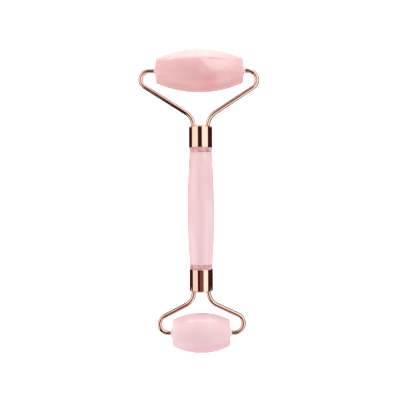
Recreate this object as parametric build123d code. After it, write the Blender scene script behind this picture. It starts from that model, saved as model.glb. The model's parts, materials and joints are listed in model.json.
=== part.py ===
from build123d import *
from dataclasses import dataclass
from math import asin, atan2, cos, degrees, hypot, radians, sin
import os

# Double-ended rose-quartz face roller, lying on a flat surface.
#
# A stone handle carries a drawn metal ferrule at each end. Two bent wire arms leave each ferrule
# and hold a barrel-shaped stone between them, which turns on the arms' inner ends.
#
# Tool frame: the handle's axis is Y, the large roller is at +Y, and both rollers turn about X.
# Row frame: the same, after the tool is laid on Z = 0, where it rests on the crowns of both rollers.
# All sizes are in millimetres.

# Driving dimensions, shared by both ends
WIRE_D = 2.3
ARM_SPACING = 6.7  # between the two arms where they leave a ferrule
HANDLE_EXPOSED = 56.45  # between the two ferrules
HANDLE_WIDEST_D = 12.35
HANDLE_WIDEST_Y = -3.0  # from the middle of the exposed handle
HANDLE_LARGE_END_D = 10.4
HANDLE_SMALL_END_D = 10.6
COLLAR_RIM_D = 10.55  # of the adhesive that stands out of each ferrule, at the rim
COLLAR_SHOULDER_D = 10.4  # and at the handle's shoulder
COLLAR_LENGTH = 2.2
FERRULE_D = 10.85
FERRULE_WALL = 0.5
FERRULE_END_WALL = 1.2

# Fits and edges
GLUE_FILM = 0.15  # round the handle's tenon
GLUE_GAP = 0.4  # between the tenon's end and the arms' heads
BUSHING_D = 3.3
BUSHING_LENGTH = 6.0  # inside the stone
FLANGE_D = 4.2
FLANGE_T = 0.6
RUNNING_CLEARANCE = 0.05  # radial, between an arm's stub and its bushing
STUB_DEPTH = 5.2  # how far a stub reaches into a stone that rests midway along its stubs
STUB_CHAMFER = 0.4
HEAD_D = 3.0  # upset head that locks an arm's root inside the ferrule
HEAD_T = 0.9
FERRULE_ROUND = 0.8  # outer edge of the closed end
FERRULE_RIM_ROUND = 0.15
SHOULDER_CHAMFER = 0.25
TENON_CHAMFER = 0.4
STONE_DOME = 0.4  # how far a stone's end bulges from its edge to its bore
STONE_DOME_FULLNESS = 0.7  # share of the dome's height reached halfway in from its edge
STONE_EDGE_ROUND = 0.5
SEAT_D = 4.8  # flat round the stone's bore, under the bushing's flange
TOLERANCE = 0.01  # for picking an edge by its radius


@dataclass
class End:
    """One end of the tool: its ferrule, its fork of two arms and its roller."""

    name: str
    direction: int  # +1 at +Y, -1 at -Y
    ferrule_length: float
    axis_distance: float  # from the ferrule's closed face to the roller's axis
    left_reach: float  # from the handle's axis to the centre of the left wire at its widest
    right_reach: float
    neck_radius: float
    left_loop_radius: float
    right_loop_radius: float
    stone_length: float
    stone_x: float  # where the stone rests along its stubs, from the handle's axis
    crown_d: float
    stone_end_d: float

    @property
    def face_y(self):
        """Y of the ferrule's closed face in the tool frame, taken as positive."""
        return HANDLE_EXPOSED / 2 + self.ferrule_length

    @property
    def axis_y(self):
        """Y of the roller's axis in the tool frame."""
        return self.direction * (self.face_y + self.axis_distance)

    @property
    def placed(self):
        """Takes the end's own frame (origin on the closed face, +Y outwards) to the tool frame."""
        turn = 0 if self.direction > 0 else 180
        return Location((0, self.direction * self.face_y, 0), (0, 0, turn))

    def reach(self, side):
        return self.left_reach if side < 0 else self.right_reach

    def loop_radius(self, side):
        return self.left_loop_radius if side < 0 else self.right_loop_radius


LARGE = End(
    name="large",
    direction=1,
    ferrule_length=10.1,
    axis_distance=25.65,
    left_reach=27.7,
    right_reach=26.3,
    neck_radius=7.4,
    left_loop_radius=4.0,
    right_loop_radius=4.35,
    stone_length=41.0,
    stone_x=-0.35,
    crown_d=20.0,
    stone_end_d=11.5,
)
SMALL = End(
    name="small",
    direction=-1,
    ferrule_length=10.45,
    axis_distance=19.25,
    left_reach=19.4,
    right_reach=19.6,
    neck_radius=7.1,
    left_loop_radius=4.15,
    right_loop_radius=4.4,
    stone_length=27.1,
    stone_x=-0.1,
    crown_d=18.7,
    stone_end_d=12.3,
)
ENDS = (LARGE, SMALL)
SIDES = {"left": -1, "right": 1}

TENON_D = FERRULE_D - 2 * FERRULE_WALL - 2 * GLUE_FILM


def lay_on_surface():
    """Takes the tool frame to the row frame: both crowns touch Z = 0, and the footprint is centred."""
    large_r = LARGE.crown_d / 2
    small_r = SMALL.crown_d / 2
    axes_apart = LARGE.axis_y - SMALL.axis_y
    slope = asin((large_r - small_r) / axes_apart)
    length = large_r + axes_apart * cos(slope) + small_r
    centre_x = (LARGE.left_reach - LARGE.right_reach) / 2  # the large fork is the widest part
    large_axis = Location((centre_x, length / 2 - large_r, large_r), (degrees(slope), 0, 0))
    return large_axis * Location((0, -LARGE.axis_y, 0))


def tenon_length(end):
    """The handle's tenon stops short of the arms' heads, inside the ferrule."""
    return end.ferrule_length - FERRULE_END_WALL - HEAD_T - GLUE_GAP


def handle():
    """Stone grip, widest a little off its middle, with a round tenon at each end."""
    half = HANDLE_EXPOSED / 2
    shoulder = half - COLLAR_LENGTH
    large_tip = half + tenon_length(LARGE)
    small_tip = half + tenon_length(SMALL)
    large_r = HANDLE_LARGE_END_D / 2
    small_r = HANDLE_SMALL_END_D / 2
    tenon_r = TENON_D / 2
    small_end = [
        (0, -small_tip),
        (tenon_r - TENON_CHAMFER, -small_tip),
        (tenon_r, -small_tip + TENON_CHAMFER),
        (tenon_r, -shoulder),
        (small_r - SHOULDER_CHAMFER, -shoulder),
        (small_r, -shoulder + SHOULDER_CHAMFER),
    ]
    large_end = [
        (large_r, shoulder - SHOULDER_CHAMFER),
        (large_r - SHOULDER_CHAMFER, shoulder),
        (tenon_r, shoulder),
        (tenon_r, large_tip - TENON_CHAMFER),
        (tenon_r - TENON_CHAMFER, large_tip),
        (0, large_tip),
    ]
    widest = (HANDLE_WIDEST_D / 2, HANDLE_WIDEST_Y)
    outline = Polyline(small_end).edges() + Polyline(large_end).edges()
    outline.append(TangentArc(widest, small_end[-1], tangent=(0, -1)))
    outline.append(TangentArc(widest, large_end[0], tangent=(0, 1)))
    outline.append(Line(large_end[-1], small_end[0]))
    return revolve(make_face(outline), Axis.Y)


def along_y(radius, start, length):
    """A cylinder on the Y axis, from start in the +Y direction."""
    return Location((0, start, 0), (-90, 0, 0)) * Cylinder(
        radius, length, align=(Align.CENTER, Align.CENTER, Align.MIN)
    )


def arm_holes(radius, start, length):
    """A pair of cylinders where the two arms pass through a ferrule's closed end."""
    rod = along_y(radius, start, length)
    return Pos(-ARM_SPACING / 2, 0, 0) * rod + Pos(ARM_SPACING / 2, 0, 0) * rod


def ferrule(end):
    """Drawn cup, closed towards the roller, with one hole for each arm."""
    outer = along_y(FERRULE_D / 2, -end.ferrule_length, end.ferrule_length)
    closed_edge = outer.edges().filter_by(GeomType.CIRCLE).sort_by(Axis.Y)[-1]
    outer = fillet(closed_edge, FERRULE_ROUND)
    rim_edge = outer.edges().filter_by(GeomType.CIRCLE).sort_by(Axis.Y)[0]
    outer = fillet(rim_edge, FERRULE_RIM_ROUND)
    depth = end.ferrule_length - FERRULE_END_WALL
    inside = along_y(FERRULE_D / 2 - FERRULE_WALL, -end.ferrule_length, depth)
    holes = arm_holes(WIRE_D / 2, -FERRULE_END_WALL, FERRULE_END_WALL)
    return end.placed * (outer - inside - holes)


def adhesive(end):
    """Cured epoxy round the tenon and the arms' heads, and the collar of it beyond the ferrule's rim."""
    depth = end.ferrule_length - FERRULE_END_WALL
    block = along_y(FERRULE_D / 2 - FERRULE_WALL, -end.ferrule_length, depth)
    collar = Location((0, -end.ferrule_length - COLLAR_LENGTH, 0), (-90, 0, 0)) * Cone(
        COLLAR_SHOULDER_D / 2,
        COLLAR_RIM_D / 2,
        COLLAR_LENGTH,
        align=(Align.CENTER, Align.CENTER, Align.MIN),
    )
    heads = arm_holes(HEAD_D / 2, -FERRULE_END_WALL - HEAD_T, HEAD_T)
    return (end.placed * (block + collar - heads)) - handle()


def arm(end, side):
    """One wire arm, from the stub inside the roller, round its loop and neck, to its head in the ferrule."""
    way = side * end.direction  # the side in the end's own frame
    root_x = way * ARM_SPACING / 2
    loop_r = end.loop_radius(side)
    neck_r = end.neck_radius
    reach = end.reach(side)

    # The straight run is the crossing tangent of the neck's and the loop's circles.
    neck_centre = (ARM_SPACING / 2 + neck_r, 0)
    loop_centre = (reach - loop_r, end.axis_distance - loop_r)
    dx = loop_centre[0] - neck_centre[0]
    dy = loop_centre[1] - neck_centre[1]
    neck_turn = 90 - degrees(atan2(dy, dx) - asin((neck_r + loop_r) / hypot(dx, dy)))
    run_heading = radians(90 - neck_turn)

    root = Line((root_x, -FERRULE_END_WALL - HEAD_T), (root_x, 0))
    neck = JernArc(root @ 1, root % 1, neck_r, -way * neck_turn)
    run_length = (hypot(dx, dy) ** 2 - (neck_r + loop_r) ** 2) ** 0.5
    run_step = Vector(way * cos(run_heading), sin(run_heading)) * run_length
    run = Line(neck @ 1, neck @ 1 + run_step)
    loop = JernArc(run @ 1, run % 1, loop_r, way * (90 + neck_turn))
    stub_x = way * (end.stone_length / 2 - STUB_DEPTH)
    stub = Line(loop @ 1, (stub_x, end.axis_distance))

    path = Wire([root, neck, run, loop, stub])
    profile = Plane(path @ 0, z_dir=path % 0) * Circle(WIRE_D / 2)
    rod = sweep(profile, path)
    tip_edge = rod.edges().filter_by(GeomType.CIRCLE).sort_by_distance((stub_x, end.axis_distance, 0))[0]
    rod = chamfer(tip_edge, STUB_CHAMFER)
    head = Pos(root_x, 0, 0) * along_y(HEAD_D / 2, -FERRULE_END_WALL - HEAD_T, HEAD_T)
    return end.placed * (rod + head)


def along_x(radius, start, length):
    """A cylinder on the X axis, from start in the +X direction."""
    return Location((start, 0, 0), (0, 90, 0)) * Cylinder(
        radius, length, align=(Align.CENTER, Align.CENTER, Align.MIN)
    )


def stone(end):
    """Barrel-shaped roller stone with gently domed ends, bored through for its two bushings."""
    half = end.stone_length / 2
    edge_x = half - STONE_DOME
    edge_r = end.stone_end_d / 2
    seat_r = SEAT_D / 2
    dome_mid = (edge_x + STONE_DOME * STONE_DOME_FULLNESS, (edge_r + seat_r) / 2)
    crown = ThreePointArc((-edge_x, edge_r), (0, end.crown_d / 2), (edge_x, edge_r))
    outline = [
        crown,
        ThreePointArc((edge_x, edge_r), dome_mid, (half, seat_r)),
        Line((half, seat_r), (half, 0)),
        Line((half, 0), (-half, 0)),
        Line((-half, 0), (-half, seat_r)),
        ThreePointArc((-half, seat_r), (-dome_mid[0], dome_mid[1]), (-edge_x, edge_r)),
    ]
    barrel = revolve(make_face(outline), Axis.X)
    rims = [e for e in barrel.edges().filter_by(GeomType.CIRCLE) if abs(e.radius - edge_r) < TOLERANCE]
    barrel = fillet(rims, STONE_EDGE_ROUND)
    barrel -= along_x(BUSHING_D / 2, -half, end.stone_length)
    return Pos(end.stone_x, end.axis_y, 0) * barrel


def bushing(end, side):
    """Flanged nylon sleeve, pressed into one end of a stone, that turns on the arm's stub."""
    half = end.stone_length / 2
    sleeve = along_x(BUSHING_D / 2, half - BUSHING_LENGTH, BUSHING_LENGTH)
    flange = along_x(FLANGE_D / 2, half, FLANGE_T)
    bore_start = half - BUSHING_LENGTH
    bore = along_x(WIRE_D / 2 + RUNNING_CLEARANCE, bore_start, BUSHING_LENGTH + FLANGE_T)
    right = sleeve + flange - bore
    turned = right if side > 0 else Rot(0, 0, 180) * right
    return Pos(end.stone_x, end.axis_y, 0) * turned


def build():
    """Every sub-part in the row frame, by its node's name."""
    parts = {"handle": handle()}
    for end in ENDS:
        parts[f"{end.name}_ferrule"] = ferrule(end)
        parts[f"{end.name}_adhesive"] = adhesive(end)
        parts[f"{end.name}_roller_stone"] = stone(end)
        for side_name, side in SIDES.items():
            parts[f"{end.name}_arm_{side_name}"] = arm(end, side)
            parts[f"{end.name}_bushing_{side_name}"] = bushing(end, side)
    lay = lay_on_surface()
    return {name: lay * shape for name, shape in parts.items()}


def main():
    os.makedirs("parts", exist_ok=True)
    for name, shape in build().items():
        export_step(shape, f"parts/{name}.step")
    lay = lay_on_surface()
    for end in ENDS:
        axis_at = (lay * Location((0, end.axis_y, 0))).position
        print(f"{end.name} roller axis at {axis_at}, crown diameter {end.crown_d}")


main()
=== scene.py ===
import json
from dataclasses import dataclass
from math import asin, atan2, cos, hypot, pi, radians, sin, sqrt, tan

import bmesh
import bpy
from mathutils import Matrix, Vector, noise


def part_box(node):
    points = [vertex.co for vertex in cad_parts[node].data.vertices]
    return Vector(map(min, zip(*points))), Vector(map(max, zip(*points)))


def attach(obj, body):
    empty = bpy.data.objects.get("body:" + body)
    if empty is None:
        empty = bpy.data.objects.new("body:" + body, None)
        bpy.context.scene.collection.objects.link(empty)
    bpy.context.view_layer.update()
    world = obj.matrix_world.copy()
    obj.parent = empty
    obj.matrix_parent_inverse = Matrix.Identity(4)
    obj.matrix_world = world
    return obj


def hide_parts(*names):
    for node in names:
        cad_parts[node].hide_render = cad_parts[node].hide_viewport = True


# Double-ended rose-quartz face roller, lying on a pale floor, seen from straight above.
# Lengths are in metres. MM turns a size in millimetres into metres.

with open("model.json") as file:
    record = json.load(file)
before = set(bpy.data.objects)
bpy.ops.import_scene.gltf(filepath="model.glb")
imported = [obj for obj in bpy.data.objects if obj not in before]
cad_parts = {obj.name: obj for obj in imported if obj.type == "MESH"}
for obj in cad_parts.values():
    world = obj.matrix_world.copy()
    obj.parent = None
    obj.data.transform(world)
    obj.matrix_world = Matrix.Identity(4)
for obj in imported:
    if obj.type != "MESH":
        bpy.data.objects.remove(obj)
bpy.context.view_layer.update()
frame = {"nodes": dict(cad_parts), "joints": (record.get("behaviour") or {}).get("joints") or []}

MM = 0.001

# Sizes that the frame's boxes can't give
WIRE_RADIUS = 1.15 * MM
ARM_SPACING = 6.7 * MM  # between the two arms where they leave a ferrule
FERRULE_WALL = 0.5 * MM
FERRULE_END_WALL = 1.2 * MM
FERRULE_ROUND = 0.8 * MM
RIM_ROUND = 0.15 * MM
HEAD_RADIUS = 1.5 * MM
HEAD_LENGTH = 0.9 * MM
STUB_DEPTH = 5.2 * MM
STUB_CHAMFER = 0.4 * MM
SOLDER_REACH = 0.45 * MM  # how far the fillet at an arm's root spreads over the ferrule
TENON_RADIUS = 4.775 * MM
TENON_CHAMFER = 0.4 * MM
HANDLE_WIDEST_Y = -3.0 * MM  # from the middle of the exposed handle
COLLAR_RIM_RADIUS = 5.275 * MM  # of the adhesive that stands out of each ferrule, at the rim
COLLAR_SHOULDER_RADIUS = 5.2 * MM  # and at the handle's shoulder
COLLAR_LENGTH = 2.2 * MM
COLLAR_HOLLOWS = 0.08 * MM  # how deep the hollows in its surface are
COLLAR_HOLLOW_SCALE = 1.6 * MM
SHOULDER_ROUND = 0.25 * MM
BORE_RADIUS = 1.65 * MM
SEAT_RADIUS = 2.4 * MM
STONE_DOME = 0.4 * MM
STONE_DOME_FULLNESS = 0.7  # share of the dome's height reached halfway in from its edge
STONE_EDGE_ROUND = 0.5 * MM
BUSHING_LENGTH = 6.0 * MM
BUSHING_BORE = 1.2 * MM
FLANGE_RADIUS = 2.1 * MM
FLANGE_LENGTH = 0.6 * MM
FLANGE_ROUND = 0.18 * MM
SKIN_GAP = 0.01 * MM  # between a sleeve and its bore, so that their surfaces don't coincide
FILLET_SUNK = 0.1 * MM  # how far a fillet of solder reaches into the wire and the ferrule

# How finely the meshes are made
STONE_SEGMENTS = 128
METAL_SEGMENTS = 96
WIRE_SEGMENTS = 36
SMALL_SEGMENTS = 64
CROWN_STEPS = 90
CORNER_STEPS = 6
SHARP_ANGLE = radians(35)
CORNER_MARGIN = 1.05  # a corner's arc takes the place of points within this many setbacks of it
LEAST_RADIUS = 1e-3 * MM  # a smaller ring is a single point
WELD_DISTANCE = 1e-4 * MM

# How unevenly hand work leaves a surface
HAND_POLISH = 0.03 * MM  # the most that polishing by hand takes off a stone
HAND_POLISH_SCALE = 9 * MM
HANDLE_SEED = 4.2
SEED_WAY = Vector((1.0, 0.37, -0.61))  # a seed's way through the noise, so that no two stones are alike
SEAT_MARGIN = 1.05  # a stone is uneven from this many seat radii outwards
INNER_MARGIN = 1.01  # the handle from this many tenon radii, a collar from this many ferrule bore radii


# ---------------------------------------------------------------- the tool's own frame


def joint_place(name):
    """A joint's point, in the row frame."""
    found = [joint for joint in frame["joints"] if joint["name"] == name]
    return Vector(found[0]["pos_m"])


LARGE_AXIS = joint_place("large_roller_spin")
SMALL_AXIS = joint_place("small_roller_spin")


def tool_placement():
    """The tool rests on two unequal rollers, so its axis climbs a little towards the large one."""
    along = (LARGE_AXIS - SMALL_AXIS).normalized()
    return Matrix.Translation((LARGE_AXIS + SMALL_AXIS) / 2) @ Matrix.Rotation(asin(along.z), 4, "X")


TOOL = tool_placement()


def tool_box(node):
    """Lowest and highest corner of a CAD node along the tool's own axes."""
    back = TOOL.inverted()
    points = [back @ vertex.co for vertex in frame["nodes"][node].data.vertices]
    low = Vector(min(point[i] for point in points) for i in range(3))
    high = Vector(max(point[i] for point in points) for i in range(3))
    return low, high


@dataclass
class End:
    """One end of the tool. Its own frame starts on the ferrule's closed face, with +Y to the roller."""

    name: str
    body: str
    axis: Vector
    neck_radius: float
    left_loop_radius: float
    right_loop_radius: float
    stone_end_radius: float
    handle_end_radius: float
    polish_seed: float

    def __post_init__(self):
        low, high = tool_box(f"{self.name}_ferrule")
        self.rim_y, self.face_y = sorted((low.y, high.y), key=abs)
        self.direction = 1 if self.face_y > 0 else -1
        self.ferrule_radius = high.x
        self.ferrule_length = abs(self.face_y - self.rim_y)
        turn = Matrix.Rotation(0 if self.direction > 0 else pi, 4, "Z")
        self.placed = TOOL @ Matrix.Translation((0, self.face_y, 0)) @ turn
        self.axis_distance = abs((TOOL.inverted() @ self.axis).y - self.face_y)
        low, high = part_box(f"{self.name}_roller_stone")
        self.stone_half = (high.x - low.x) / 2
        self.stone_x = (high.x + low.x) / 2 - self.axis.x
        self.crown_radius = (high.z - low.z) / 2
        self.left_reach = -tool_box(f"{self.name}_arm_left")[0].x - WIRE_RADIUS
        self.right_reach = tool_box(f"{self.name}_arm_right")[1].x - WIRE_RADIUS
        own_x = self.stone_x * self.direction
        self.stone_placed = self.placed @ Matrix.Translation((own_x, self.axis_distance, 0))

    @property
    def stone_centre(self):
        return self.axis + Vector((self.stone_x, 0, 0))

    def reach(self, side):
        """From the tool's axis to the centre of the wire at its widest."""
        return self.left_reach if side < 0 else self.right_reach

    def loop_radius(self, side):
        return self.left_loop_radius if side < 0 else self.right_loop_radius


LARGE = End(
    name="large",
    body="large_roller",
    axis=LARGE_AXIS,
    neck_radius=7.4 * MM,
    left_loop_radius=4.0 * MM,
    right_loop_radius=4.35 * MM,
    stone_end_radius=5.75 * MM,
    handle_end_radius=5.2 * MM,
    polish_seed=2.7,
)
SMALL = End(
    name="small",
    body="small_roller",
    axis=SMALL_AXIS,
    neck_radius=7.1 * MM,
    left_loop_radius=4.15 * MM,
    right_loop_radius=4.4 * MM,
    stone_end_radius=6.15 * MM,
    handle_end_radius=5.3 * MM,
    polish_seed=7.9,
)
ENDS = (LARGE, SMALL)
SIDES = {"left": -1, "right": 1}


# ---------------------------------------------------------------- outlines and meshes


def line(start, end, steps=1):
    """Points of a straight run, both ends included."""
    start, end = Vector(start), Vector(end)
    return [start.lerp(end, i / steps) for i in range(steps + 1)]


def arc(start, middle, end, steps):
    """Points of the circle's arc from start through middle to end."""
    # The circle's centre is as far from each of the three points.
    a, b, c = Vector(start), Vector(middle), Vector(end)
    d = 2 * (a.x * (b.y - c.y) + b.x * (c.y - a.y) + c.x * (a.y - b.y))
    sa, sb, sc = a.length_squared, b.length_squared, c.length_squared
    centre = Vector(
        (
            (sa * (b.y - c.y) + sb * (c.y - a.y) + sc * (a.y - b.y)) / d,
            (sa * (c.x - b.x) + sb * (a.x - c.x) + sc * (b.x - a.x)) / d,
        )
    )
    first, last = a - centre, c - centre
    sweep = atan2(first.x * last.y - first.y * last.x, first.dot(last))
    return [centre + turned(first, sweep * i / steps) for i in range(steps + 1)]


def taper(widest, end, steps):
    """Points from a barrel's widest place to one end, on the circle that runs level at the widest place."""
    run, drop = end[0] - widest[0], widest[1] - end[1]
    radius = (run**2 + drop**2) / (2 * drop)
    sweep = asin(run / radius)
    top = Vector(widest)
    angles = [sweep * i / steps for i in range(steps + 1)]
    return [top + Vector((sin(angle), cos(angle) - 1)) * radius for angle in angles]


def turned(vector, angle):
    """A flat vector, turned anticlockwise."""
    return Vector(
        (
            vector.x * cos(angle) - vector.y * sin(angle),
            vector.x * sin(angle) + vector.y * cos(angle),
        )
    )


def join_round(before, after, radius, steps=CORNER_STEPS):
    """Two runs that meet at a corner, joined by an arc of that radius in place of the corner."""
    corner = before[-1]
    into = (corner - before[-2]).normalized()
    out = (after[1] - corner).normalized()
    turn = atan2(into.x * out.y - into.y * out.x, into.dot(out))
    setback = radius * tan(abs(turn) / 2)
    start = corner - into * setback
    side = 1 if turn > 0 else -1
    centre = start + Vector((-into.y, into.x)) * radius * side
    bend = [centre + turned(start - centre, turn * i / steps) for i in range(steps + 1)]
    kept_before = [p for p in before if (p - corner).length > setback * CORNER_MARGIN]
    kept_after = [p for p in after if (p - corner).length > setback * CORNER_MARGIN]
    return kept_before + bend + kept_after


def new_piece(name, verts, faces):
    """A smooth-shaded object with outward normals, and edges kept crisp where the surface turns sharply."""
    mesh = bpy.data.meshes.new(name)
    mesh.from_pydata([tuple(v) for v in verts], [], faces)
    work = bmesh.new()
    work.from_mesh(mesh)
    bmesh.ops.remove_doubles(work, verts=work.verts, dist=WELD_DISTANCE)
    bmesh.ops.recalc_face_normals(work, faces=work.faces)
    work.to_mesh(mesh)
    work.free()
    mesh.polygons.foreach_set("use_smooth", [True] * len(mesh.polygons))
    mesh.set_sharp_from_angle(angle=SHARP_ANGLE)
    piece = bpy.data.objects.new(name, mesh)
    bpy.context.scene.collection.objects.link(piece)
    return piece


def skin(rings, segments, closed=False):
    """Faces between each ring of vertex numbers and the next. A ring may be a single point."""
    pairs = list(zip(rings, rings[1:]))
    if closed:
        pairs.append((rings[-1], rings[0]))
    faces = []
    for one, two in pairs:
        for i in range(segments):
            j = (i + 1) % segments
            corners = [one[i % len(one)], one[j % len(one)], two[j % len(two)], two[i % len(two)]]
            faces.append(list(dict.fromkeys(corners)))
    return [face for face in faces if len(face) > 2]


def turned_surface(outline, segments, closed=False):
    """Vertices and faces of an outline of (station, radius) points, turned about the Y axis."""
    verts, rings = [], []
    for station, radius in outline:
        count = 1 if radius < LEAST_RADIUS else segments
        rings.append([len(verts) + i for i in range(count)])
        for i in range(count):
            angle = 2 * pi * i / segments
            verts.append(Vector((radius * cos(angle), station, radius * sin(angle))))
    return verts, skin(rings, segments, closed)


ALONG_X = Matrix.Rotation(-pi / 2, 4, "Z")  # takes a surface turned about Y to one turned about X


def uneven(verts, from_radius, depth, scale, seed=0.0):
    """Takes up to depth off a turned surface, here more and there less, from from_radius outwards."""
    shift = SEED_WAY * seed
    result = []
    for vert in verts:
        radius = hypot(vert.x, vert.z)
        if radius > from_radius:
            taken = depth * (1 + noise.noise(vert / scale + shift)) / 2
            shrink = 1 - taken / radius
            vert = Vector((vert.x * shrink, vert.y, vert.z * shrink))
        result.append(vert)
    return result


def hand_polished(verts, from_radius, seed):
    """A stone's vertices with polishing by hand taken off. Those inside from_radius stay true."""
    return uneven(verts, from_radius, HAND_POLISH, HAND_POLISH_SCALE, seed)


# ---------------------------------------------------------------- the pieces


def stone_outline(end):
    """Closed outline of a barrel-shaped stone with domed ends and a through bore."""
    half, edge_r = end.stone_half, end.stone_end_radius
    edge_x = half - STONE_DOME
    dome_mid = (edge_x + STONE_DOME * STONE_DOME_FULLNESS, (edge_r + SEAT_RADIUS) / 2)
    bore = line((-half, BORE_RADIUS), (half, BORE_RADIUS), steps=24)
    right_seat = line((half, BORE_RADIUS), (half, SEAT_RADIUS), steps=2)
    right_dome = arc((half, SEAT_RADIUS), dome_mid, (edge_x, edge_r), steps=12)
    crown = arc((edge_x, edge_r), (0, end.crown_radius), (-edge_x, edge_r), CROWN_STEPS)
    left_dome = [Vector((-p.x, p.y)) for p in reversed(right_dome)]
    left_seat = [Vector((-p.x, p.y)) for p in reversed(right_seat)]
    outside = join_round(right_dome, crown, STONE_EDGE_ROUND)
    outside = join_round(outside, left_dome, STONE_EDGE_ROUND)
    return bore[:-1] + right_seat[:-1] + outside + left_seat[1:-1]


def make_stone(end):
    verts, faces = turned_surface(stone_outline(end), STONE_SEGMENTS, closed=True)
    verts = hand_polished(verts, SEAT_RADIUS * SEAT_MARGIN, end.polish_seed)
    placed = end.stone_placed @ ALONG_X
    return new_piece(f"{end.name}_polished_stone", [placed @ v for v in verts], faces)


def make_bushing(end, side_name):
    """Flanged sleeve, with its flange's edges eased."""
    half = end.stone_half
    inner, outer = half - BUSHING_LENGTH, half + FLANGE_LENGTH
    sleeve_r = BORE_RADIUS - SKIN_GAP
    bore = line((inner, BUSHING_BORE), (outer, BUSHING_BORE), steps=12)
    face = line((outer, BUSHING_BORE), (outer, FLANGE_RADIUS), steps=3)
    edge = line((outer, FLANGE_RADIUS), (half, FLANGE_RADIUS), steps=3)
    under = line((half, FLANGE_RADIUS), (half, sleeve_r), steps=2)
    sleeve = line((half, sleeve_r), (inner, sleeve_r), steps=12)
    tip = line((inner, sleeve_r), (inner, BUSHING_BORE))
    outside = join_round(face, edge, FLANGE_ROUND)
    outside = join_round(outside, under, FLANGE_ROUND / 2)
    outline = bore[:-1] + outside[:-1] + sleeve[:-1] + tip[:-1]
    verts, faces = turned_surface(outline, SMALL_SEGMENTS, closed=True)
    way = SIDES[side_name] * end.direction
    flip = Matrix.Rotation(0 if way > 0 else pi, 4, "Z")
    placed = end.stone_placed @ flip @ ALONG_X
    return new_piece(f"{end.name}_flanged_bushing_{side_name}", [placed @ v for v in verts], faces)


def make_handle():
    """Barrel-shaped grip that runs on under each collar and into each ferrule as a tenon."""
    low, high = tool_box("handle")
    middle = (LARGE.rim_y + SMALL.rim_y) / 2
    widest = (middle + HANDLE_WIDEST_Y, high.x)
    top, bottom = LARGE.rim_y - COLLAR_LENGTH, SMALL.rim_y + COLLAR_LENGTH
    top_r, bottom_r = LARGE.handle_end_radius, SMALL.handle_end_radius
    tip = line((low.y, 0), (low.y, TENON_RADIUS), steps=3)
    tenon = line((low.y, TENON_RADIUS), (bottom, TENON_RADIUS), steps=4)
    shoulder = line((bottom, TENON_RADIUS), (bottom, bottom_r), steps=3)
    to_bottom = taper(widest, (bottom, bottom_r), CROWN_STEPS // 2)
    to_top = taper(widest, (top, top_r), CROWN_STEPS // 2)
    grip = to_bottom[::-1] + to_top[1:]
    top_shoulder = line((top, top_r), (top, TENON_RADIUS), steps=3)
    top_tenon = line((top, TENON_RADIUS), (high.y, TENON_RADIUS), steps=4)
    top_tip = line((high.y, TENON_RADIUS), (high.y, 0), steps=3)
    outline = join_round(tip, tenon, TENON_CHAMFER) + shoulder[1:]
    outline = join_round(outline, grip, SHOULDER_ROUND)
    outline = join_round(outline, top_shoulder, SHOULDER_ROUND)
    outline = outline + join_round(top_tenon, top_tip, TENON_CHAMFER)
    verts, faces = turned_surface(outline, STONE_SEGMENTS)
    verts = hand_polished(verts, TENON_RADIUS * INNER_MARGIN, HANDLE_SEED)
    return new_piece("polished_stone_handle", [TOOL @ v for v in verts], faces)


def make_adhesive(end):
    """Epoxy that fills the ferrule behind the tenon, and its uneven collar outside the rim."""
    low, high = tool_box("handle")
    tenon_tip = abs(high.y if end.direction > 0 else low.y) - abs(end.face_y)
    inner_r = end.ferrule_radius - FERRULE_WALL
    rim, shoulder = -end.ferrule_length, -end.ferrule_length - COLLAR_LENGTH
    back = line((-FERRULE_END_WALL, 0), (-FERRULE_END_WALL, inner_r), steps=2)
    inside = line((-FERRULE_END_WALL, inner_r), (rim, inner_r), steps=2)
    step = line((rim, inner_r), (rim, COLLAR_RIM_RADIUS))
    collar = line((rim, COLLAR_RIM_RADIUS), (shoulder, COLLAR_SHOULDER_RADIUS), steps=12)
    under = line((shoulder, COLLAR_SHOULDER_RADIUS), (shoulder, TENON_RADIUS))
    bore = line((shoulder, TENON_RADIUS), (tenon_tip, TENON_RADIUS), steps=2)
    tip = line((tenon_tip, TENON_RADIUS), (tenon_tip, 0), steps=2)
    outline = back[:-1] + inside[:-1] + step[:-1] + collar[:-1] + under[:-1] + bore[:-1] + tip
    verts, faces = turned_surface(outline, METAL_SEGMENTS)
    verts = uneven(verts, inner_r * INNER_MARGIN, COLLAR_HOLLOWS, COLLAR_HOLLOW_SCALE)
    return new_piece(f"{end.name}_glue_collar", [end.placed @ v for v in verts], faces)


def solder_fillet(root_x):
    """Concave ring of solder where an arm leaves the ferrule, in the end's own frame."""
    wide = WIRE_RADIUS + SOLDER_REACH
    inner = WIRE_RADIUS - FILLET_SUNK
    sunk = -FILLET_SUNK
    lift = SOLDER_REACH * (1 - 1 / sqrt(2))
    hollow = arc((0, wide), (lift, WIRE_RADIUS + lift), (SOLDER_REACH, WIRE_RADIUS), steps=8)
    outline = line((sunk, wide), (0, wide))[:-1] + hollow + line((SOLDER_REACH, inner), (sunk, inner))
    verts, faces = turned_surface(outline, SMALL_SEGMENTS, closed=True)
    return [v + Vector((root_x, 0, 0)) for v in verts], faces


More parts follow.
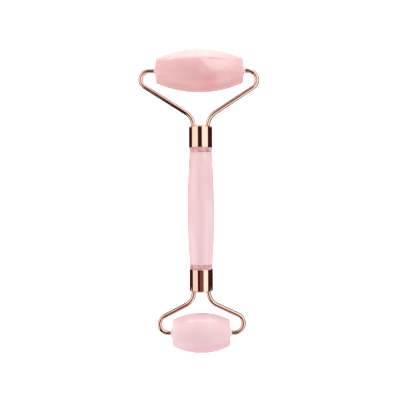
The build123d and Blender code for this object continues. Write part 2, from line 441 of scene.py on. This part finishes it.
def make_ferrule(end):
    """Drawn cup with a rounded closed end and a small fillet round each arm."""
    outer_r, inner_r = end.ferrule_radius, end.ferrule_radius - FERRULE_WALL
    rim, floor = -end.ferrule_length, -FERRULE_END_WALL
    face = line((0, 0), (0, outer_r), steps=6)
    wall = line((0, outer_r), (rim, outer_r), steps=16)
    lip = line((rim, outer_r), (rim, inner_r), steps=2)
    inside = line((rim, inner_r), (floor, inner_r), steps=8)
    bottom = line((floor, inner_r), (floor, 0), steps=4)
    outline = join_round(face, wall, FERRULE_ROUND, steps=12)
    outline = join_round(outline, lip, RIM_ROUND)
    outline = join_round(outline, inside, RIM_ROUND)
    outline = join_round(outline, bottom, RIM_ROUND)
    verts, faces = turned_surface(outline, METAL_SEGMENTS)
    for side in SIDES.values():
        more_verts, more_faces = solder_fillet(side * ARM_SPACING / 2)
        faces += [[i + len(verts) for i in face] for face in more_faces]
        verts += more_verts
    return new_piece(f"{end.name}_plated_ferrule", [end.placed @ v for v in verts], faces)


class Route:
    """A wire's centreline in the XY plane, grown from its start in straight runs and bends."""

    def __init__(self, x, y, heading):
        self.place = Vector((x, y))
        self.heading = heading  # anticlockwise from +X
        self.stations = [(self.place.copy(), heading)]

    def straight(self, length, steps=1):
        step = Vector((cos(self.heading), sin(self.heading))) * length / steps
        for _ in range(steps):
            self.place = self.place + step
            self.stations.append((self.place.copy(), self.heading))

    def bend(self, radius, angle, steps):
        """Turns through angle, anticlockwise if it is positive."""
        side = 1 if angle > 0 else -1
        to_centre = Vector((-sin(self.heading), cos(self.heading))) * radius * side
        centre = self.place + to_centre
        arm = self.place - centre
        for i in range(1, steps + 1):
            self.place = centre + turned(arm, angle * i / steps)
            self.stations.append((self.place.copy(), self.heading + angle * i / steps))
        self.heading += angle


def arm_route(end, way):
    """Root, neck, straight run, loop and stub. way is -1 or 1, the side of the end's own frame."""
    loop_r = end.loop_radius(way * end.direction)
    neck_r = end.neck_radius
    dx = end.reach(way * end.direction) - loop_r - ARM_SPACING / 2 - neck_r
    dy = end.axis_distance - loop_r
    apart = hypot(dx, dy)
    neck_turn = pi / 2 - (atan2(dy, dx) - asin((neck_r + loop_r) / apart))
    run = sqrt(apart**2 - (neck_r + loop_r) ** 2)
    route = Route(way * ARM_SPACING / 2, -FERRULE_END_WALL, pi / 2)
    route.straight(FERRULE_END_WALL, steps=2)
    route.bend(neck_r, -way * neck_turn, steps=24)
    route.straight(run, steps=16)
    route.bend(loop_r, way * (pi / 2 + neck_turn), steps=48)
    stub_end = end.stone_half - STUB_DEPTH
    route.straight(abs(route.place.x) - stub_end, steps=12)
    return route


def make_arm(end, side_name):
    """Round wire along its route, with a chamfered tip and an upset head inside the ferrule."""
    way = SIDES[side_name] * end.direction
    stations = arm_route(end, way).stations
    root, tip = stations[0][0], stations[-1][0]
    back = Vector((0, -HEAD_LENGTH))
    tip_heading = stations[-1][1]
    along_tip = Vector((cos(tip_heading), sin(tip_heading)))
    rings = [
        (root + back, pi / 2, 0.0),
        (root + back, pi / 2, HEAD_RADIUS),
        (root, pi / 2, HEAD_RADIUS),
        (root, pi / 2, WIRE_RADIUS),
    ]
    rings += [(place, heading, WIRE_RADIUS) for place, heading in stations[1:-1]]
    rings += [
        (tip - along_tip * STUB_CHAMFER, tip_heading, WIRE_RADIUS),
        (tip, tip_heading, WIRE_RADIUS - STUB_CHAMFER),
        (tip, tip_heading, 0.0),
    ]
    verts, loops = [], []
    for place, heading, radius in rings:
        across = Vector((-sin(heading), cos(heading), 0))
        count = WIRE_SEGMENTS if radius > 0 else 1
        loops.append([len(verts) + i for i in range(count)])
        for i in range(count):
            angle = 2 * pi * i / WIRE_SEGMENTS
            offset = across * radius * cos(angle) + Vector((0, 0, radius * sin(angle)))
            verts.append(Vector((place.x, place.y, 0)) + offset)
    faces = skin(loops, WIRE_SEGMENTS)
    return new_piece(f"{end.name}_plated_arm_{side_name}", [end.placed @ v for v in verts], faces)


# ---------------------------------------------------------------- materials

NOISE_SPAN = (0.3, 0.7)  # most of a noise's values lie between these
WAVER_SPAN = (0.25, 0.75)  # and nearly all of them between these
EDGE_WAVER_SCALE = 300.0  # features for each metre, in the edge of a tinted side
SPOT_WAVER_SCALE = 220.0  # and in the edge of a tinted spot
MIX_FIRST, MIX_SECOND, MIX_RESULT = 6, 7, 2  # the sockets of a Mix node that take and give colours

# How a quartz's features compare with its clouds
GRAIN_TURN = (0.3, 0.2, 0.4)  # so that the clouds' grain doesn't follow the stone's own axes
HAZE_FINENESS = 2.3
VEIL_FINENESS = 1.4
VEIL_HALF = 0.03  # half a veil's thickness, in the noise's own values
CRACK_FINENESS = 1.1
CRACK_HALF = 0.012  # half a healed crack's thickness, in cells
CRACK_STRENGTH = 0.22


def srgb(red, green, blue):
    """A colour given as it looks on a screen, from 0 to 255, as the linear colour that shaders take."""

    def linear(value):
        value = value / 255
        return value / 12.92 if value <= 0.04045 else ((value + 0.055) / 1.055) ** 2.4

    return (linear(red), linear(green), linear(blue), 1.0)


class Shader:
    """One material and the nodes that feed its surface."""

    def __init__(self, name):
        self.material = bpy.data.materials.new(name)
        self.material.use_nodes = True
        self.nodes = self.material.node_tree.nodes
        self.links = self.material.node_tree.links
        self.surface = self.nodes["Principled BSDF"]
        self.place = self.nodes.new("ShaderNodeTexCoord").outputs["Object"]

    def put(self, socket, value):
        if isinstance(value, bpy.types.NodeSocket):
            self.links.new(value, socket)
        else:
            socket.default_value = value

    def node(self, kind, output, inputs, **settings):
        """Adds a node. inputs maps a socket's name or number to a value or to another node's output."""
        made = self.nodes.new(kind)
        for key, value in settings.items():
            setattr(made, key, value)
        for key, value in inputs.items():
            self.put(made.inputs[key], value)
        return made.outputs[output]

    def set(self, **inputs):
        """Sets the surface's own sockets: base_color is Base Color."""
        names = {name.lower().replace(" ", "_"): name for name in self.surface.inputs.keys()}
        for key, value in inputs.items():
            self.put(self.surface.inputs[names[key]], value)

    def cloud(self, scale, detail=4.0, roughness=0.5, distortion=0.0, place=None):
        """Noise from 0 to 1. scale is in features for each metre."""
        return self.node(
            "ShaderNodeTexNoise",
            "Fac",
            {
                "Vector": place or self.place,
                "Scale": scale,
                "Detail": detail,
                "Roughness": roughness,
                "Distortion": distortion,
            },
        )

    def stretched(self, scales, turn=(0.0, 0.0, 0.0)):
        """The object's coordinates, stretched and turned, for streaks."""
        return self.node(
            "ShaderNodeMapping", "Vector", {"Vector": self.place, "Scale": scales, "Rotation": turn}
        )

    def between(self, value, low, high, to_low=0.0, to_high=1.0, smooth=True):
        """Maps value from low..high to to_low..to_high, and holds it there outside."""
        return self.node(
            "ShaderNodeMapRange",
            "Result",
            {
                "Value": value,
                "From Min": low,
                "From Max": high,
                "To Min": to_low,
                "To Max": to_high,
            },
            interpolation_type="SMOOTHSTEP" if smooth else "LINEAR",
        )

    def math(self, operation, first, second=0.0):
        return self.node("ShaderNodeMath", "Value", {0: first, 1: second}, operation=operation)

    def vector_math(self, operation, output, first, second):
        return self.node("ShaderNodeVectorMath", output, {0: first, 1: second}, operation=operation)

    def mixed(self, factor, first, second):
        """A colour that goes from first to second as factor goes from 0 to 1."""
        made = self.nodes.new("ShaderNodeMix")
        made.data_type = "RGBA"
        self.put(made.inputs["Factor"], factor)
        self.put(made.inputs[MIX_FIRST], first)
        self.put(made.inputs[MIX_SECOND], second)
        return made.outputs[MIX_RESULT]

    def tinted(self, colour, mask, strength, tone):
        """A colour that goes towards tone where mask is 1. strength is how far, from 0 to 1."""
        return self.mixed(self.math("MULTIPLY", mask, strength), colour, tone)

    def wavering(self, distance, waver, scale):
        """A distance that wanders by up to waver either way, so that the edge it draws is natural."""
        noise_here = self.cloud(scale)
        wander = self.between(noise_here, *WAVER_SPAN, to_low=-waver, to_high=waver, smooth=False)
        return self.math("ADD", distance, wander)

    def past_line(self, centre, x, y, normal, softness, waver):
        """1 on the side of a line that its normal points to and 0 on the other, as seen from above. The
        line goes through (x, y) from the stone's centre. Lengths are in millimetres."""
        point = centre + Vector((x, y, 0)) * MM
        offset = self.vector_math("SUBTRACT", "Vector", self.place, point)
        reach = self.vector_math("DOT_PRODUCT", "Value", offset, Vector((*normal, 0)).normalized())
        reach = self.wavering(reach, waver * MM, EDGE_WAVER_SCALE)
        return self.between(reach, -softness * MM, softness * MM)

    def near_point(self, centre, x, y, z, radius, waver):
        """1 at a point, given from the stone's centre, fading to 0 at radius from it, in millimetres."""
        point = centre + Vector((x, y, z)) * MM
        distance = self.vector_math("DISTANCE", "Value", self.place, point)
        distance = self.wavering(distance, waver * MM, SPOT_WAVER_SCALE)
        return self.between(distance, 0.0, radius * MM, to_low=1.0, to_high=0.0)

    def bump(self, height, strength, distance):
        return self.node(
            "ShaderNodeBump",
            "Normal",
            {"Height": height, "Strength": strength, "Distance": distance},
        )


@dataclass
class Quartz:
    """The look of one stone: its colours, from the deepest to the milkiest, and how its clouds lie."""

    slot: str
    deep: tuple
    rosy: tuple
    milky: tuple
    cloud_scale: float
    stretch: tuple
    veil: float  # how strongly white veils show


def quartz(look):
    """Polished translucent stone with clouds, thin white veils and faint healed cracks. Returns the shader
    and its colour, so that a stone can add what only it has."""
    shader = Shader(look.slot)
    grain = shader.stretched(look.stretch, turn=GRAIN_TURN)
    clouds = shader.cloud(look.cloud_scale, detail=3.0, distortion=0.6, place=grain)
    colour = shader.mixed(shader.between(clouds, low=0.32, high=0.62), look.deep, look.rosy)
    pale_wash = shader.cloud(look.cloud_scale * HAZE_FINENESS, detail=5.0, roughness=0.6, place=grain)
    pale_wash = shader.between(pale_wash, low=0.52, high=0.78, to_high=0.45)
    colour = shader.mixed(pale_wash, colour, look.milky)

    # A veil is a thin sheet, where a slow noise crosses its middle value.
    sheet = shader.cloud(look.cloud_scale * VEIL_FINENESS, detail=2.0, distortion=1.5)
    from_sheet = shader.math("ABSOLUTE", shader.math("SUBTRACT", sheet, 0.5))
    veil = shader.between(from_sheet, low=0.0, high=VEIL_HALF, to_low=look.veil, to_high=0.0)
    colour = shader.mixed(veil, colour, look.milky)

    # Healed cracks are the thin walls between large cells.
    cells = shader.node(
        "ShaderNodeTexVoronoi",
        "Distance",
        {"Vector": grain, "Scale": look.cloud_scale * CRACK_FINENESS, "Randomness": 1.0},
        feature="DISTANCE_TO_EDGE",
    )
    crack = shader.between(cells, low=0.0, high=CRACK_HALF, to_low=CRACK_STRENGTH, to_high=0.0)
    colour = shader.mixed(crack, colour, look.milky)

    # Fine polishing marks and a few pits, too small to see except in the gloss.
    along = shader.stretched((1.0, 0.08, 1.0))
    scratches = shader.cloud(scale=2600.0, detail=6.0, roughness=0.7, place=along)
    shader.set(
        roughness=shader.between(scratches, *NOISE_SPAN, to_low=0.07, to_high=0.17, smooth=False),
        normal=shader.bump(scratches, strength=0.05, distance=0.02 * MM),
        ior=1.544,
        subsurface_weight=0.4,
        subsurface_radius=(1.0, 0.72, 0.7),
        subsurface_scale=2.0 * MM,
        transmission_weight=0.06,
    )
    return shader, colour


def large_stone_material():
    """Deeper pink, with a painted highlight along its upper side, a pale patch behind a slanting edge,
    painted shade along its lower side, and a deeper heart.
    """
    shader, colour = quartz(
        Quartz(
            slot="large_roller_quartz",
            deep=srgb(227, 178, 178),
            rosy=srgb(233, 189, 188),
            milky=srgb(241, 207, 204),
            cloud_scale=85.0,
            stretch=(0.7, 1.0, 1.0),
            veil=0.05,
        )
    )
    centre = LARGE.stone_centre
    # Paler upper band: a painted highlight, standing in for the top lamp's reflection.
    pale_wash = shader.past_line(centre, x=-3.0, y=5.2, normal=(-0.03, 1.0), softness=2.0, waver=0.8)
    colour = shader.tinted(colour, pale_wash, strength=0.6, tone=srgb(244, 224, 221))

    slant = shader.past_line(centre, x=2.8, y=1.6, normal=(0.73, 0.68), softness=0.7, waver=0.9)
    above = shader.past_line(centre, x=12.0, y=-1.5, normal=(0.0, 1.0), softness=0.7, waver=0.5)
    below = shader.past_line(centre, x=9.5, y=3.6, normal=(-0.07, -1.0), softness=0.6, waver=0.5)
    patch = shader.math("MULTIPLY", shader.math("MULTIPLY", slant, above), below)
    outer = shader.past_line(centre, x=13.0, y=1.0, normal=(1.0, 0.0), softness=4.0, waver=1.0)
    fading = shader.between(outer, low=0.0, high=1.0, to_low=0.75, to_high=0.35)
    colour = shader.tinted(colour, patch, strength=fading, tone=srgb(242, 210, 206))

    # Deeper pink along the lower side: painted shade, on the side away from the top lamp.
    low = shader.past_line(centre, x=2.0, y=-3.0, normal=(0.25, -1.0), softness=3.0, waver=1.2)
    colour = shader.tinted(colour, low, strength=0.5, tone=srgb(226, 168, 170))
    heart = shader.near_point(centre, x=4.6, y=-6.6, z=7.0, radius=6.5, waver=1.0)
    colour = shader.tinted(colour, heart, strength=0.6, tone=srgb(226, 152, 159))
    shader.set(base_color=colour)
    return shader.material


def small_stone_material():
    """Pale, even stone, with more colour along its outer side, at its right end and at its inner side."""
    shader, colour = quartz(
        Quartz(
            slot="small_roller_quartz",
            deep=srgb(232, 199, 201),
            rosy=srgb(237, 207, 208),
            milky=srgb(242, 219, 218),
            cloud_scale=70.0,
            stretch=(0.8, 1.0, 1.0),
            veil=0.1,
        )
    )
    centre = SMALL.stone_centre
    outer = shader.past_line(centre, x=1.0, y=-4.6, normal=(0.12, -1.0), softness=1.8, waver=0.8)
    colour = shader.tinted(colour, outer, strength=0.7, tone=srgb(228, 180, 190))
    inner = shader.near_point(centre, x=0.8, y=8.0, z=4.6, radius=4.2, waver=0.8)
    colour = shader.tinted(colour, inner, strength=0.7, tone=srgb(232, 190, 198))
    right = shader.past_line(centre, x=6.0, y=0.0, normal=(1.0, 0.0), softness=3.0, waver=0.8)
    colour = shader.tinted(colour, right, strength=0.45, tone=srgb(231, 190, 190))
    shader.set(base_color=colour)
    return shader.material


def handle_material():
    """Soft pink with streaks along the grip, a little paler towards the small roller."""
    shader, colour = quartz(
        Quartz(
            slot="handle_quartz",
            deep=srgb(231, 191, 193),
            rosy=srgb(236, 203, 203),
            milky=srgb(240, 215, 212),
            cloud_scale=75.0,
            stretch=(1.6, 0.45, 1.6),
            veil=0.1,
        )
    )
    row_origin = Vector((0, 0, 0))
    paler = shader.past_line(row_origin, x=0.0, y=-8.0, normal=(0.0, -1.0), softness=14.0, waver=2.0)
    colour = shader.tinted(colour, paler, strength=0.35, tone=srgb(240, 216, 222))
    shader.set(base_color=colour)
    return shader.material


def rose_gold_material(slot, buffed_along):
    """Mirror-polished plating, with fine buffing lines, smudges and a slightly coppery tone in places."""
    shader = Shader(slot)
    tone = shader.cloud(scale=180.0, detail=3.0)
    colour = shader.mixed(shader.between(tone, *NOISE_SPAN), srgb(249, 214, 198), srgb(245, 204, 185))
    buffing = shader.cloud(scale=3200.0, detail=5.0, roughness=0.65, place=shader.stretched(buffed_along))
    smudge = shader.cloud(scale=320.0, detail=4.0, distortion=0.8)
    worn = shader.between(smudge, low=0.5, high=0.8, to_high=0.05)
    fine = shader.between(buffing, *NOISE_SPAN, to_low=0.035, to_high=0.075, smooth=False)
    shader.set(
        base_color=colour,
        metallic=1.0,
        roughness=shader.math("ADD", fine, worn),
        normal=shader.bump(buffing, strength=0.03, distance=0.01 * MM),
    )
    return shader.material


def nylon_material():
    """Translucent natural nylon with faint turning marks."""
    shader = Shader("nylon")
    tone = shader.cloud(scale=900.0, detail=3.0)
    marks = shader.cloud(scale=5200.0, detail=3.0, place=shader.stretched((1.0, 0.1, 0.1)))
    shader.set(
        base_color=shader.mixed(tone, srgb(243, 232, 226), srgb(250, 243, 238)),
        roughness=shader.between(marks, *NOISE_SPAN, to_low=0.28, to_high=0.42, smooth=False),
        normal=shader.bump(marks, strength=0.12, distance=0.02 * MM),
        ior=1.53,
        subsurface_weight=0.5,
        subsurface_radius=(1.0, 0.9, 0.85),
        subsurface_scale=1.0 * MM,
    )
    return shader.material


def epoxy_with_painted_shade_material():
    """Cured adhesive that carries the stone's pink, with pale and dark specks and small bubbles. Its dark
    red is partly painted shade: the shade and the dark ferrule that show through the glue at the joint.
    """
    shader = Shader("epoxy")
    tone = shader.cloud(scale=420.0, detail=3.0)
    pink = shader.between(tone, low=0.35, high=0.65)
    # Dark red partly painted shade: it stands for the shade inside the ferrule seen through the glue.
    colour = shader.mixed(pink, srgb(188, 126, 128), srgb(214, 162, 162))
    pale = shader.between(shader.cloud(scale=1500.0, detail=2.0), low=0.56, high=0.68, to_high=0.7)
    colour = shader.mixed(pale, colour, srgb(240, 212, 206))
    specks = shader.cloud(scale=1100.0, detail=2.0, distortion=0.5)
    dark = shader.between(specks, low=0.6, high=0.72, to_high=0.5)
    colour = shader.mixed(dark, colour, srgb(150, 92, 90))
    bubbles = shader.node("ShaderNodeTexVoronoi", "Distance", {"Vector": shader.place, "Scale": 2400.0})
    shader.set(
        base_color=colour,
        roughness=shader.between(tone, *NOISE_SPAN, to_low=0.2, to_high=0.4),
        normal=shader.bump(shader.between(bubbles, low=0.0, high=0.25), strength=0.3, distance=0.03 * MM),
        ior=1.55,
        subsurface_weight=0.2,
        subsurface_radius=(1.0, 0.8, 0.7),
        subsurface_scale=0.6 * MM,
    )
    return shader.material


def floor_material():
    """Plain matt white, with the faintest unevenness."""
    shader = Shader("pale_floor")
    grain = shader.cloud(scale=60.0)
    shader.set(
        base_color=shader.mixed(grain, srgb(250, 250, 250), srgb(252, 252, 252)),
        roughness=0.9,
        specular_ior_level=0.0,
        emission_color=WHITE,
        emission_strength=FLOOR_GLOW,
    )
    return shader.material


# ---------------------------------------------------------------- putting the object together


def finish_piece(piece, material, body, slot, *nodes):
    """Gives a piece its material, joins it to its body, and lets it stand for its CAD nodes."""
    piece.data.materials.append(material)
    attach(piece, body)
    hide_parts(*nodes)


def build_object():
    ferrule_metal = rose_gold_material("rose_gold_ferrule", buffed_along=(1.0, 0.05, 1.0))
    wire_metal = rose_gold_material("rose_gold_wire", buffed_along=(1.0, 1.0, 0.2))
    nylon, epoxy = nylon_material(), epoxy_with_painted_shade_material()
    stone_materials = {"large": large_stone_material(), "small": small_stone_material()}

    finish_piece(make_handle(), handle_material(), "frame", "handle_quartz", "handle")
    for end in ENDS:
        stone = make_stone(end)
        stone_slot = f"{end.name}_roller_quartz"
        finish_piece(stone, stone_materials[end.name], end.body, stone_slot, f"{end.name}_roller_stone")
        ferrule = make_ferrule(end)
        finish_piece(ferrule, ferrule_metal, "frame", "rose_gold_ferrule", f"{end.name}_ferrule")
        for side_name in SIDES:
            arm = make_arm(end, side_name)
            finish_piece(arm, wire_metal, "frame", "rose_gold_wire", f"{end.name}_arm_{side_name}")
            bushing = make_bushing(end, side_name)
            finish_piece(bushing, nylon, end.body, "nylon", f"{end.name}_bushing_{side_name}")
        finish_piece(make_adhesive(end), epoxy, "frame", "epoxy", f"{end.name}_adhesive")


# ---------------------------------------------------------------- studio

WHITE = (1.0, 1.0, 1.0, 1.0)
BLACK = (0.0, 0.0, 0.0, 1.0)
FLOOR_HALF = 3.0
FLOOR_GLOW = 0.62  # the floor glows, so that shadows on it are faint
FILL = 0.518  # even light from the room
REFLECTED_ROOM = srgb(62, 32, 22)  # what polished metal sees between the lamps
REFLECTED_FLOOR = srgb(205, 196, 200)
CARD_GAP = 2 * MM  # from a ferrule's closed face to the card that shows the forks a floor
CARD_HALF = 40 * MM
CARD_LIFT = 0.05 * MM  # above the floor
LAMP_DISTANCE = 0.6
GLOSS_SETBACK = 2 * MM


@dataclass
class Panel:
    """A flat lamp. outward points from the object through its middle, and up is its own up."""

    name: str
    middle: Vector
    outward: Vector
    up: Vector
    width: float
    height: float
    brightness: float  # radiance, so it doesn't depend on the lamp's size
    tint: tuple = (1.0, 1.0, 1.0)
    matt_share: float = 1.0  # share of its brightness that matt surfaces get; reflections get all of it


def side_panel(name, turn, half_turn, low_y, high_y, **light):
    """A lamp that stands along the tool. turn is how far it leans from straight up to +X, in degrees."""
    angle = radians(turn)
    outward = Vector((sin(angle), 0, cos(angle)))
    middle = outward * LAMP_DISTANCE + Vector((0, (low_y + high_y) / 2, 0))
    width = 2 * LAMP_DISTANCE * tan(radians(half_turn))
    return Panel(name, middle, outward, Vector((0, 1, 0)), width, high_y - low_y, **light)


def end_panel(name, y, half_x, low_z, high_z, **light):
    """A lamp that stands across the tool, beyond one of its ends."""
    outward = Vector((0, 1 if y > 0 else -1, 0))
    middle = Vector((0, y, (low_z + high_z) / 2))
    return Panel(name, middle, outward, Vector((0, 0, 1)), 2 * half_x, high_z - low_z, **light)


# The side lamps come in pairs, because the stripes in the two ferrules differ a little.
RIGHT_LIGHT = {"brightness": 1.32, "tint": (0.93, 1.0, 1.02), "matt_share": 0.86}
WARM_LIGHT = {"brightness": 0.16, "tint": (1.0, 0.5, 0.4), "matt_share": 0.0}
PANELS = (
    side_panel("left_softbox", turn=-59.3, half_turn=31.7, low_y=0.0, high_y=0.75, brightness=1.1),
    side_panel("low_left_softbox", turn=-62.7, half_turn=27.3, low_y=-0.42, high_y=0.0, brightness=1.0),
    side_panel("right_softbox", turn=43.5, half_turn=30.2, low_y=0.0, high_y=1.0, **RIGHT_LIGHT),
    side_panel("low_right_softbox", turn=45.6, half_turn=22.5, low_y=-0.75, high_y=0.0, **RIGHT_LIGHT),
    side_panel("overhead_card", turn=-10, half_turn=22, low_y=0.12, high_y=0.5, brightness=0.28),
    end_panel("top_softbox", y=0.5, half_x=0.26, low_z=-0.02, high_z=0.17, brightness=2.2),
    end_panel("low_softbox", y=-0.7, half_x=0.5, low_z=0.0, high_z=0.4, brightness=0.9),
    side_panel("warm_card", turn=5, half_turn=16, low_y=-0.3, high_y=-0.02, **WARM_LIGHT),
)


def place_lamp(panel, name, share, lights_matt, setback=0.0):
    """A lamp in the panel's place or setback behind it, with that share of its brightness."""
    data = bpy.data.lights.new(name, "AREA")
    data.shape = "RECTANGLE"
    data.size, data.size_y = panel.width, panel.height
    data.energy = share * panel.brightness * pi * panel.width * panel.height
    data.color = panel.tint
    lamp = bpy.data.objects.new(name, data)
    across = panel.up.cross(panel.outward)
    middle = panel.middle + panel.outward * setback
    facing = Matrix((across, panel.up, panel.outward)).transposed()
    lamp.matrix_world = Matrix.Translation(middle) @ facing.to_4x4()
    lamp.visible_camera = False
    lamp.visible_diffuse = lights_matt
    bpy.context.scene.collection.objects.link(lamp)


def place_panel(panel):
    """A lamp for every surface, and one for reflections alone that makes up what the first one lacks."""
    if panel.matt_share > 0:
        place_lamp(panel, panel.name, panel.matt_share, lights_matt=True)
    if panel.matt_share < 1:
        # Behind the other, because a reflection that meets two lamps in one plane sees only one of them.
        gloss_share = 1 - panel.matt_share
        place_lamp(panel, f"{panel.name}_gloss", gloss_share, lights_matt=False, setback=GLOSS_SETBACK)


def flat_card(name, low, high, z):
    corners = [(low[0], low[1]), (high[0], low[1]), (high[0], high[1]), (low[0], high[1])]
    return new_piece(name, [Vector((x, y, z)) for x, y in corners], [[0, 1, 2, 3]])


def make_floor():
    """Reflections don't see the floor beside the handle, so the ferrules' edges stay dark."""
    floor = flat_card("floor", (-FLOOR_HALF, -FLOOR_HALF), (FLOOR_HALF, FLOOR_HALF), z=0.0)
    floor.data.materials.append(floor_material())
    floor.visible_glossy = False


def make_reflected_floor():
    """What the forks and stones see of the floor: a card under each end that only reflections see."""
    glow = Shader("reflected_floor")
    glow.set(base_color=BLACK, emission_color=REFLECTED_FLOOR, emission_strength=1.0)
    for end in ENDS:
        near = end.face_y + end.direction * CARD_GAP
        far = end.direction * FLOOR_HALF
        low_y, high_y = sorted((near, far))
        name = f"{end.name}_reflected_floor"
        card = flat_card(name, (-CARD_HALF, low_y), (CARD_HALF, high_y), z=CARD_LIFT)
        card.data.materials.append(glow.material)
        card.visible_camera = False
        card.visible_diffuse = False
        card.visible_transmission = False
        card.visible_shadow = False


def make_room():
    """An even fill light. The camera sees a white backdrop, and reflections see a dark room."""
    world = bpy.data.worlds.new("room")
    bpy.context.scene.world = world
    world.use_nodes = True
    nodes, links = world.node_tree.nodes, world.node_tree.links
    rays = nodes.new("ShaderNodeLightPath")
    for_reflections = nodes.new("ShaderNodeMix")
    for_reflections.data_type = "RGBA"
    for_reflections.inputs[MIX_FIRST].default_value = (FILL, FILL, FILL, 1.0)
    for_reflections.inputs[MIX_SECOND].default_value = REFLECTED_ROOM
    links.new(rays.outputs["Is Glossy Ray"], for_reflections.inputs["Factor"])
    for_camera = nodes.new("ShaderNodeMix")
    for_camera.data_type = "RGBA"
    for_camera.inputs[MIX_SECOND].default_value = WHITE
    links.new(rays.outputs["Is Camera Ray"], for_camera.inputs["Factor"])
    links.new(for_reflections.outputs[MIX_RESULT], for_camera.inputs[MIX_FIRST])
    links.new(for_camera.outputs[MIX_RESULT], nodes["Background"].inputs["Color"])


VIEW_WIDTH = 186.1 * MM  # of the view, at the height of the handle's axis
VIEW_CENTRE = Vector((0.28, 0.57)) * MM
VIEW_TILT = radians(-0.3)
LENS = 70.0
SENSOR = 36.0


def make_camera():
    """Looks straight down on the lying tool."""
    data = bpy.data.cameras.new("camera")
    data.lens = LENS
    data.sensor_width = SENSOR
    camera = bpy.data.objects.new("camera", data)
    height = (LARGE_AXIS.z + SMALL_AXIS.z) / 2 + VIEW_WIDTH * LENS / SENSOR
    camera.location = (VIEW_CENTRE.x, VIEW_CENTRE.y, height)
    camera.rotation_euler = (0, 0, VIEW_TILT)
    bpy.context.scene.collection.objects.link(camera)
    bpy.context.scene.camera = camera


make_camera()
build_object()
make_floor()
make_reflected_floor()
make_room()
for panel in PANELS:
    place_panel(panel)
bpy.context.scene.view_settings.view_transform = "Standard"
